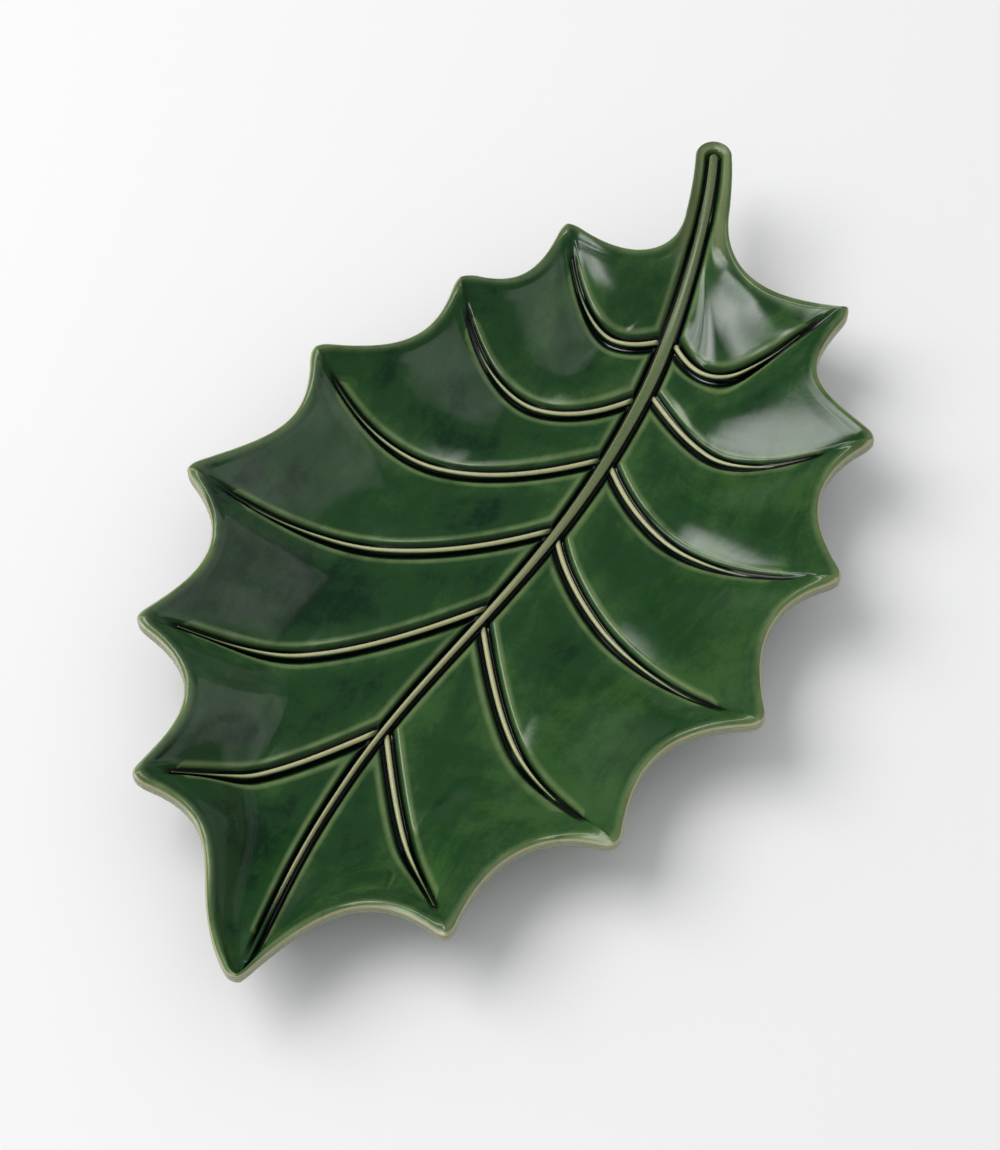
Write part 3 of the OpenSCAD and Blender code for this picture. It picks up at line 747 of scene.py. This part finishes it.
def build_blade(form):
    rows = leaf_rows()
    points, masks, faces = [], [], []
    for side in SIDES:
        start = sum(len(p) for p in points)
        for row in rows:
            row_points, row_masks = blade_row(form, side, row, form.shared_station(row))
            points.append(row_points)
            masks.append(row_masks)
        faces += strip_faces(len(rows), len(points[-1]), start)
    masks = {key: np.concatenate([m[key] for m in masks]) for key in masks[0]}
    return new_piece("leaf_blade_glazed", form.to_frame(np.concatenate(points)), faces, masks,
                     ["leaf_blade"])


def rib_ring(left, right, height, crown):
    """Closed section of a rib between its two feet, round over the top and sunk underneath."""
    centre, arm = (left + right) / 2, (right - left) / 2
    ring = centre - np.cos(RING_TURNS)[:, None] * arm
    ring[:, 2] += height * np.sin(RING_TURNS) ** crown
    low = np.array([right, left])
    low[:, 2] -= SINK
    return np.concatenate([ring, low])


def build_rib(node, form, rings, crown, way, ways):
    """The piece of a rib, with masks of its crest and of the way that its sections lie along it."""
    crest = np.append(np.sin(RING_TURNS) ** crown, [0, 0])
    masks = {"crest": np.tile(crest, len(rings)), way: np.repeat(ways, len(crest))}
    return new_piece(f"{node}_glazed", form.to_frame(np.concatenate(rings)),
                     tube_faces(len(rings), len(crest)), masks, [node])


def build_vein(form, side, number):
    """One side vein from its blunt root to where it runs out in its groove."""
    size = form.size
    before, after = Row("before", number - 1, size.vein_half), Row("after", number, size.vein_half)
    shared = form.shared_station(before)
    _, root, bank_end, crease, lip = form.landmarks(side, before, shared)
    end = mix(root, crease, VEIN_LAST_SHARE)
    line = form.lines[side][number]
    root_share = ROOT_LENGTH / np.linalg.norm(curve(line, end) - curve(line, root))
    along = np.concatenate([root_share * (1 - np.cos(quarter_turns())),
                            np.linspace(root_share, 1, VEIN_SECTIONS)[1:]])
    v = mix(root, end, along)
    share = v / lip
    mid_depth = size.midrib_groove * (1 - ease_over(v, (root, bank_end)))
    feet = []
    for row in (before, after):
        z = form.top_height(side, row, shared, share) - deeper(mid_depth, vein_depth(form, row, share))
        feet.append(np.column_stack([form.point(side, row, v), z]))
    strength = 1 - ease_over(along, RIB_OUT)
    blunt = np.sqrt(np.clip(1 - (1 - np.clip(along / root_share, 0, 1)) ** 2, 0, 1))
    width = taper(share) * np.maximum(blunt, ROOT_KEEPS[0]) * mix(OUT_KEEPS[0], 1, strength)
    height = size.vein_height * mix(OUT_KEEPS[1], 1, strength) * np.maximum(blunt, ROOT_KEEPS[1])
    centre = (feet[0] + feet[1]) / 2
    left, right = [centre + (foot - centre) * width[:, None] for foot in feet]
    rings = [rib_ring(*section, VEIN_CROWN) for section in zip(left, right, height)]
    node = f"{SIDE_NAMES[side]}_vein_{number}"
    return build_rib(node, form, rings, VEIN_CROWN, "along", along)


def midrib_ring(form, station, onward, half, lift):
    """Section of the midrib, moved onward from its station."""
    size = form.size
    strength = float(form.midrib_strength(station))
    centre = form.mid_at(station) + form.ahead(station) * onward
    across = form.across(station, 1) * half
    z = form.mid_height(station) - size.midrib_groove * strength
    left, right = np.append(centre - across, z), np.append(centre + across, z)
    return rib_ring(left, right, size.midrib_height * max(strength, TIP_KEEPS) * lift, MIDRIB_CROWN)


def build_midrib(form):
    """The midrib from near the leaf tip to its round end on the stem."""
    cap = MIDRIB_END_SHARE * form.size.stem_half
    sections = []
    for station in np.linspace(MIDRIB_OUT[0] + MIDRIB_START_SHARE, STEM_END_SHARE, MIDRIB_SECTIONS):
        half = form.midrib_half(station)
        half = mix(half, min(half, cap), ease_over(station, (NECK_SHARE, STEM_END_SHARE)))
        sections.append((station, 0.0, half, 1.0))
    for turn in quarter_turns():
        half = cap * max(math.cos(turn), END_KEEPS[0])
        lift = max(math.cos(turn) ** 0.5, END_KEEPS[1])
        sections.append((STEM_END_SHARE, cap * math.sin(turn), half, lift))
    rings = [midrib_ring(form, *section) for section in sections]
    stations = [section[0] for section in sections]
    return build_rib("midrib", form, rings, MIDRIB_CROWN, "station", stations)


class Nodes:
    """Short calls that add and link the nodes of one material, group or world."""

    def __init__(self, tree):
        tree.nodes.clear()
        self.tree = tree

    def add(self, kind, inputs=None, **values):
        """A new node with its own values, and its inputs fed by name or number."""
        node = self.tree.nodes.new(kind)
        for key, value in values.items():
            setattr(node, key, value)
        for key, value in (inputs or {}).items():
            if isinstance(value, bpy.types.NodeSocket):
                self.tree.links.new(value, node.inputs[key])
            else:
                node.inputs[key].default_value = value
        return node

    def math(self, operation, *values, clamp=False):
        inputs = dict(enumerate(values))
        return self.add("ShaderNodeMath", inputs, operation=operation, use_clamp=clamp).outputs[0]

    def plus(self, *values):
        return reduce(lambda a, b: self.math("ADD", a, b), values)

    def times(self, *values):
        return reduce(lambda a, b: self.math("MULTIPLY", a, b), values)

    def around(self, noise, strength):
        """A factor that a noise moves up and down around 1."""
        return self.math("MULTIPLY_ADD", self.math("SUBTRACT", noise, 0.5), strength, 1.0)

    def blend(self, factor, a, b):
        """A mix of two colours, which are inputs 6 and 7 and output 2 of its node."""
        return self.add("ShaderNodeMix", {0: factor, 6: a, 7: b}, data_type="RGBA").outputs[2]

    def ramp(self, value, stops, smooth=True):
        inputs = dict(zip(("Value", "From Min", "From Max", "To Min", "To Max"), (value, *stops)))
        kind = "SMOOTHSTEP" if smooth else "LINEAR"
        return self.add("ShaderNodeMapRange", inputs, interpolation_type=kind).outputs[0]

    def band(self, value, stops):
        start, full, fade, end, strength = stops
        return self.times(self.ramp(value, (start, full, 0, strength)), self.ramp(value, (fade, end, 1, 0)))

    def noise(self, where, scale, detail, rough, distortion=0.0):
        inputs = {"Vector": where, "Scale": scale, "Detail": detail, "Roughness": rough,
                  "Distortion": distortion}
        return self.add("ShaderNodeTexNoise", inputs).outputs[0]

    def where(self):
        return self.add("ShaderNodeTexCoord").outputs["Object"]

    def axes(self, where):
        return self.add("ShaderNodeSeparateXYZ", {0: where}).outputs

    def mask(self, name):
        node = self.add("ShaderNodeAttribute", attribute_type="GEOMETRY", attribute_name=name)
        return node.outputs["Fac"]

    def bump(self, height, strength, distance):
        inputs = {"Strength": strength, "Distance": distance, "Height": height}
        return self.add("ShaderNodeBump", inputs).outputs["Normal"]

    def surface(self, kind, inputs):
        """The shader that a material shows."""
        self.add("ShaderNodeOutputMaterial", {"Surface": self.add(kind, inputs).outputs[0]})


def rgba(value):
    return (*value, 1.0)


def new_material(name):
    """An empty material and the short calls for its nodes."""
    material = bpy.data.materials.new(name)
    material.use_nodes = True
    return material, Nodes(material.node_tree)


def set_material(obj, material):
    obj.data.materials.clear()
    obj.data.materials.append(material)


def glaze_group(settings):
    """Glaze that lies cloudy over the clay, turns dark where it pools and pale where it breaks."""
    existing = bpy.data.node_groups.get("cloudy_glaze")
    if existing:
        return existing
    tree = bpy.data.node_groups.new("cloudy_glaze", "ShaderNodeTree")
    for way, kind, labels in GLAZE_SOCKETS:
        for label in labels:
            tree.interface.new_socket(label, in_out=way, socket_type=f"NodeSocket{kind}")
    n = Nodes(tree)
    given = n.add("NodeGroupInput").outputs
    where = n.where()
    drawn = n.add("ShaderNodeMapping", {"Vector": where, "Scale": STREAK_SCALE}).outputs[0]
    clouds, blots, grain = [n.noise(where, *noise) for noise in (CLOUDS, BLOTS, GRAIN)]
    streaks = n.noise(drawn, *STREAKS)
    # The Bright input adds lighter glaze by the grooves and towards the rim, and on the leaf blade also
    # painted shade and light from its left half to its right
    tone = n.plus(n.ramp(clouds, CLOUD_TONE), n.ramp(blots, BLOT_TONE), n.ramp(streaks, STREAK_TONE),
                  n.ramp(grain, GRAIN_TONE), given["Bright"])
    body = n.blend(n.ramp(tone, USUAL_TONE), rgba(settings.deep_glaze), rgba(settings.glaze))
    body = n.blend(n.ramp(tone, BRIGHT_TONE), body, rgba(settings.bright_glaze))
    uneven = n.math("SUBTRACT", n.plus(blots, streaks), 1.0)
    brink = n.math("MULTIPLY_ADD", uneven, *BRINK_BREAKS)
    brink = n.math("MULTIPLY", given["Brink"], brink, clamp=True)
    body = n.blend(brink, body, rgba(settings.brink_glaze))
    thin = n.math("MULTIPLY", given["Thin"], n.around(grain, THIN_BREAKS), clamp=True)
    body = n.blend(thin, body, given["Thin colour"])
    dark = n.ramp(n.times(given["Pooled"], n.around(blots, POOL_BREAKS)), DARK_POOL)
    gloss = n.math("MULTIPLY_ADD", brink, BRINK_ROUGHNESS, n.ramp(blots, GLOSS))
    dimples = n.times(n.noise(where, *DIMPLES), DIMPLE_SHARE)
    n.add("NodeGroupOutput", {
        "Colour": n.blend(dark, body, rgba(settings.pooled_glaze)),
        "Roughness": n.math("MULTIPLY_ADD", thin, THIN_ROUGHNESS, gloss),
        "Height": n.plus(n.noise(where, *WAVES), dimples, n.times(blots, BLOT_SHARE))})
    return tree


def glazed_material(name, settings, masks, thin_colour):
    """A glossy material: its masks and the colour of its thin glaze are functions that add their nodes."""
    material, n = new_material(name)
    inputs = {label: mask(n) for label, mask in masks.items()}
    inputs["Thin colour"] = thin_colour(n)
    glaze = n.add("ShaderNodeGroup", inputs, node_tree=glaze_group(settings)).outputs
    n.surface("ShaderNodeBsdfPrincipled", {
        "Base Color": glaze["Colour"], "Roughness": glaze["Roughness"],
        "Normal": n.bump(glaze["Height"], *GLAZE_BUMP), "IOR": GLAZE_IOR})
    return material


def blade_material(settings):
    """Green glaze, thin along the grooves and over the lip, where a line of clay shows, with painted shade
    over the leaf's left half and painted light over its right half.
    """
    def pooled(n):
        return n.times(n.mask("pooled"), n.ramp(n.mask("stem"), STEM_POOLS))

    def brink(n):
        lip = n.times(n.band(n.mask("rim_turn"), LIP_BAND), n.ramp(n.mask("stem"), STEM_LIP))
        return n.math("ADD", n.band(n.mask("groove_gap"), GROOVE_LINE), lip, clamp=True)

    def thin(n):
        turn = n.mask("rim_turn")
        shade = n.math("MULTIPLY_ADD", n.ramp(turn, WALL_SHADE), n.ramp(turn, WALL_SHADE_END), 1.0)
        edge = n.plus(n.band(turn, CLAY_LINE), n.times(n.band(turn, WALL_BAND), shade))
        beads = n.times(n.ramp(n.mask("reach"), STEM_BEADS), n.ramp(turn, BEADS_END))
        return n.math("MAXIMUM", edge, n.times(n.mask("stem"), beads), clamp=True)

    def bright(n):
        gap, reach = n.ramp(n.mask("groove_gap"), GROOVE_LIGHT), n.ramp(n.mask("reach"), RIM_LIGHT)
        # Painted shade over the leaf's left half and painted light over its right half, by place across the
        # leaf
        return n.plus(gap, reach, n.ramp(n.axes(n.where())["X"], RIGHT_SIDE_PAINTED_LIGHT))

    def clay(n):
        turn = n.ramp(n.mask("rim_turn"), WALL_CLAY)
        edge = n.blend(turn, rgba(settings.rim_clay), rgba(settings.wall_glaze))
        return n.blend(n.ramp(n.mask("stem"), STEM_CLAY), edge, rgba(settings.stem_glaze))

    masks = {"Pooled": pooled, "Brink": brink, "Thin": thin, "Bright": bright}
    return glazed_material("green_glaze_over_leaf", settings, masks, clay)


def vein_material(settings):
    """Pale glaze over the crests, narrower and narrower towards the rim."""
    def lowered(n):
        narrowing = n.ramp(n.mask("along"), VEIN_NARROWING, smooth=False)
        return n.math("SUBTRACT", n.mask("crest"), narrowing)

    def pooled(n):
        return n.ramp(lowered(n), VEIN_POOLS)

    def thin(n):
        return n.times(n.ramp(lowered(n), VEIN_THIN), n.ramp(n.mask("along"), VEIN_ROOT))

    def bright(n):
        return n.ramp(n.mask("crest"), VEIN_LIGHT)

    masks = {"Pooled": pooled, "Thin": thin, "Bright": bright}
    return glazed_material("pale_glaze_over_veins", settings, masks, lambda n: rgba(settings.thin_glaze))


def midrib_material(settings):
    """Olive glaze over the broad back, paler towards the leaf tip and at both its edges."""
    def pooled(n):
        return n.ramp(n.mask("crest"), MIDRIB_POOLS)

    def thin(n):
        return n.times(n.ramp(n.mask("crest"), MIDRIB_THIN), n.ramp(n.mask("station"), MIDRIB_TIP))

    def olive(n):
        crest, station = n.mask("crest"), n.mask("station")
        edge = n.blend(n.ramp(station, MIDRIB_OLIVE), rgba(settings.thin_glaze),
                       rgba(settings.midrib_edge_glaze))
        back = n.times(n.ramp(crest, MIDRIB_TOP), n.ramp(station, MIDRIB_BACK))
        return n.blend(back, edge, rgba(settings.midrib_glaze))

    return glazed_material("olive_glaze_over_midrib", settings, {"Pooled": pooled, "Thin": thin}, olive)


def clay_material(settings):
    material, n = new_material("bare_fired_clay")
    where = n.where()
    grain, stain = n.noise(where, *CLAY_GRAIN), n.noise(where, *CLAY_STAIN)
    dark = rgba([STAIN_SHARE * c for c in settings.bare_clay])
    stained = n.blend(n.ramp(stain, STAIN), rgba(settings.bare_clay), dark)
    n.surface("ShaderNodeBsdfPrincipled", {
        "Base Color": n.blend(n.ramp(grain, SPOTS), stained, dark),
        "Roughness": n.ramp(grain, CLAY_ROUGHNESS), "Normal": n.bump(grain, *CLAY_BUMP)})
    return material


# The camera and lamps are placed in the picture's own frame: right, into the picture, up
PICTURE_TURN = math.radians(-25.58)
LOOK_AT = Vector((1.67 * MM, -8.59 * MM, 18 * MM))
CAMERA_ELEVATION = math.radians(58)
CAMERA_DISTANCE = 1122.8 * MM
CAMERA_LENS = 95
SENSOR_HEIGHT = 36
CAMERA_CLIP = (0.05, 30)
FLOOR_RADIUS = 6
FLOOR_SIDES = 96
FLOOR_ROUGHNESS = 0.9
FLOOR_SPECULAR = 0.1
LAMP_DIRECTION = (-0.60, 0.15, 0.79)
LAMP_DISTANCE = 2.6
LAMP_SIZE = 1.9
LAMP_COLOUR = (1.0, 0.995, 0.985)
# Each card that the glaze reflects: its middle and its half size in degrees from straight up,
# across the picture and into it, then its strength and the share of it that fades out
CARDS = {
    "window_card": (-40, 19, 14, 15, 5.5, 0.55),
    "skylight_card": (-15, 1, 20, 12, 6.8, 0.6),
    "low_window_card": (-58, -30, 25, 20, 5.0, 0.6),
    "ceiling_card": (-7, -16, 8, 6, 7.0, 0.8),
    "curtain_card": (-30, 57, 20, 17, 0.25, 0.9),
    "grey_wall_card": (41, 12, 24, 20, 0.8, 0.08),
    "far_wall_card": (44, 46, 26, 14, 0.3, 0.08),
}
CARD_DISTANCE = 2.0
# Colour and strength of the room as it lights the plate, as the glaze reflects it and as it is seen
ROOM_LIGHT = ((0.985, 0.99, 1.0, 1), 0.56)
ROOM_REFLECTED = ((0.9, 0.95, 1.0, 1), 0.12)
ROOM_SEEN = ((0.9, 0.9, 0.905, 1), 1.0)


def from_picture(right, into, up):
    c, s = math.cos(PICTURE_TURN), math.sin(PICTURE_TURN)
    return Vector((right * c + into * s, -right * s + into * c, up))


def aim(obj):
    """Turn a camera, lamp or card towards the middle of the picture."""
    obj.rotation_mode = "QUATERNION"
    obj.rotation_quaternion = (LOOK_AT - obj.location).to_track_quat("-Z", "Y")


def build_camera():
    data = bpy.data.cameras.new("picture_camera")
    data.sensor_fit = "VERTICAL"
    data.sensor_height = SENSOR_HEIGHT
    data.lens = CAMERA_LENS
    data.clip_start, data.clip_end = CAMERA_CLIP
    camera = linked("picture_camera", data)
    back, up = CAMERA_DISTANCE * math.cos(CAMERA_ELEVATION), CAMERA_DISTANCE * math.sin(CAMERA_ELEVATION)
    camera.location = LOOK_AT + from_picture(0, -back, up)
    aim(camera)
    bpy.context.scene.camera = camera


def flat_sheet(name, make, **shape):
    """A flat mesh object that one of bmesh's own shapes fills."""
    bm = bmesh.new()
    make(bm, **shape)
    mesh = bpy.data.meshes.new(name)
    bm.to_mesh(mesh)
    bm.free()
    return linked(name, mesh)


def build_floor(settings):
    floor = flat_sheet("pale_floor", bmesh.ops.create_circle, cap_ends=True, segments=FLOOR_SIDES,
                       radius=FLOOR_RADIUS)
    material, n = new_material("pale_floor_paint")
    n.surface("ShaderNodeBsdfPrincipled", {
        "Base Color": rgba(settings.floor_colour), "Roughness": FLOOR_ROUGHNESS,
        "Specular IOR Level": FLOOR_SPECULAR})
    set_material(floor, material)


def build_lamp(power):
    data = bpy.data.lights.new("window_light", "AREA")
    data.shape = "RECTANGLE"
    data.size = data.size_y = LAMP_SIZE
    data.energy = power
    data.color = LAMP_COLOUR
    lamp = linked("window_light", data)
    lamp.location = LOOK_AT + from_picture(*LAMP_DIRECTION).normalized() * LAMP_DISTANCE
    aim(lamp)
    lamp.visible_glossy = False


def build_card(name, across, into, half_across, half_into, strength, soft):
    """A pale card that only the glaze's reflections see, with its light fading over its outer part."""
    card = flat_sheet(name, bmesh.ops.create_grid, x_segments=1, y_segments=1, size=1)
    tilt, bearing = math.radians(math.hypot(across, into)), math.atan2(into, across)
    level = math.sin(tilt)
    direction = from_picture(level * math.cos(bearing), level * math.sin(bearing), math.cos(tilt))
    card.location = LOOK_AT + direction * CARD_DISTANCE
    half_sizes = [CARD_DISTANCE * math.tan(math.radians(half)) for half in (half_into, half_across)]
    card.scale = (*half_sizes, 1)
    aim(card)
    card.rotation_quaternion = card.rotation_quaternion @ Quaternion((0, 0, 1), -bearing)
    card.visible_camera = card.visible_diffuse = card.visible_shadow = False
    material, n = new_material(name)
    where = n.where()
    place = n.axes(where)
    fades = [n.ramp(n.math("ABSOLUTE", place[axis]), (1 - soft, 1, 1, 0)) for axis in ("X", "Y")]
    patches = n.ramp(n.noise(where, *CARD_NOISE), CARD_PATCHES)
    n.surface("ShaderNodeEmission", {"Color": n.times(*fades, patches), "Strength": strength})
    set_material(card, material)


def build_world():
    world = bpy.data.worlds.new("pale_room")
    bpy.context.scene.world = world
    world.use_nodes = True
    n = Nodes(world.node_tree)
    path = n.add("ShaderNodeLightPath").outputs
    light, reflected, seen = [n.add("ShaderNodeBackground", {"Color": tint, "Strength": strength}).outputs[0]
                              for tint, strength in (ROOM_LIGHT, ROOM_REFLECTED, ROOM_SEEN)]
    unseen = n.add("ShaderNodeMixShader", {0: path["Is Glossy Ray"], 1: light, 2: reflected}).outputs[0]
    room = n.add("ShaderNodeMixShader", {0: path["Is Camera Ray"], 1: unseen, 2: seen}).outputs[0]
    n.add("ShaderNodeOutputWorld", {"Surface": room})


class PLATE_OT_blade(bpy.types.Operator):
    """Build the dished, glazed leaf blade"""

    bl_idname = "leaf_plate.blade"
    bl_label = "Leaf blade"

    def execute(self, context):
        settings = context.scene.leaf_plate
        set_material(build_blade(LeafForm(settings)), blade_material(settings))
        return {"FINISHED"}


class PLATE_OT_midrib(bpy.types.Operator):
    """Build the midrib from the stem end to the leaf tip"""

    bl_idname = "leaf_plate.midrib"
    bl_label = "Midrib"

    def execute(self, context):
        settings = context.scene.leaf_plate
        set_material(build_midrib(LeafForm(settings)), midrib_material(settings))
        return {"FINISHED"}


class PLATE_OT_veins(bpy.types.Operator):
    """Build the side veins, each with its blunt root"""

    bl_idname = "leaf_plate.veins"
    bl_label = "Side veins"

    def execute(self, context):
        settings = context.scene.leaf_plate
        form, material = LeafForm(settings), vein_material(settings)
        for side in SIDES:
            for number in range(1, LAST_BAY + 1):
                set_material(build_vein(form, side, number), material)
        return {"FINISHED"}


class PLATE_OT_foot(bpy.types.Operator):
    """Give the foot ring its bare clay"""

    bl_idname = "leaf_plate.foot"
    bl_label = "Foot ring"

    def execute(self, context):
        ring = NODES["foot_ring"]
        set_material(ring, clay_material(context.scene.leaf_plate))
        return {"FINISHED"}


class PLATE_OT_stage(bpy.types.Operator):
    """Set up the floor, the lights and the camera"""

    bl_idname = "leaf_plate.stage"
    bl_label = "Stage and camera"

    def execute(self, context):
        settings = context.scene.leaf_plate
        build_floor(settings)
        build_world()
        build_lamp(settings.key_power)
        for name, values in CARDS.items():
            build_card(name, *values)
        build_camera()
        context.scene.view_settings.view_transform = "Standard"
        return {"FINISHED"}


OPERATORS = (PLATE_OT_blade, PLATE_OT_midrib, PLATE_OT_veins, PLATE_OT_foot, PLATE_OT_stage)


class PLATE_PT_panel(bpy.types.Panel):
    """Buttons and sizes of the leaf shaped plate"""

    bl_label = "Leaf shaped plate"
    bl_idname = "PLATE_PT_panel"
    bl_space_type = "VIEW_3D"
    bl_region_type = "UI"
    bl_category = "Leaf plate"

    def draw(self, context):
        layout = self.layout
        for operator in OPERATORS:
            layout.operator(operator.bl_idname)
        settings = context.scene.leaf_plate
        for name in PlateSettings.__annotations__:
            layout.prop(settings, name)


CLASSES = (PlateSettings, *OPERATORS, PLATE_PT_panel)


def register():
    for cls in CLASSES:
        bpy.utils.register_class(cls)
    bpy.types.Scene.leaf_plate = PointerProperty(type=PlateSettings)


def unregister():
    del bpy.types.Scene.leaf_plate
    for cls in reversed(CLASSES):
        bpy.utils.unregister_class(cls)


def main():
    register()
    bpy.ops.leaf_plate.blade()
    bpy.ops.leaf_plate.midrib()
    bpy.ops.leaf_plate.veins()
    bpy.ops.leaf_plate.foot()
    bpy.ops.leaf_plate.stage()
    bpy.context.view_layer.update()


if __name__ == "__main__":
    main()
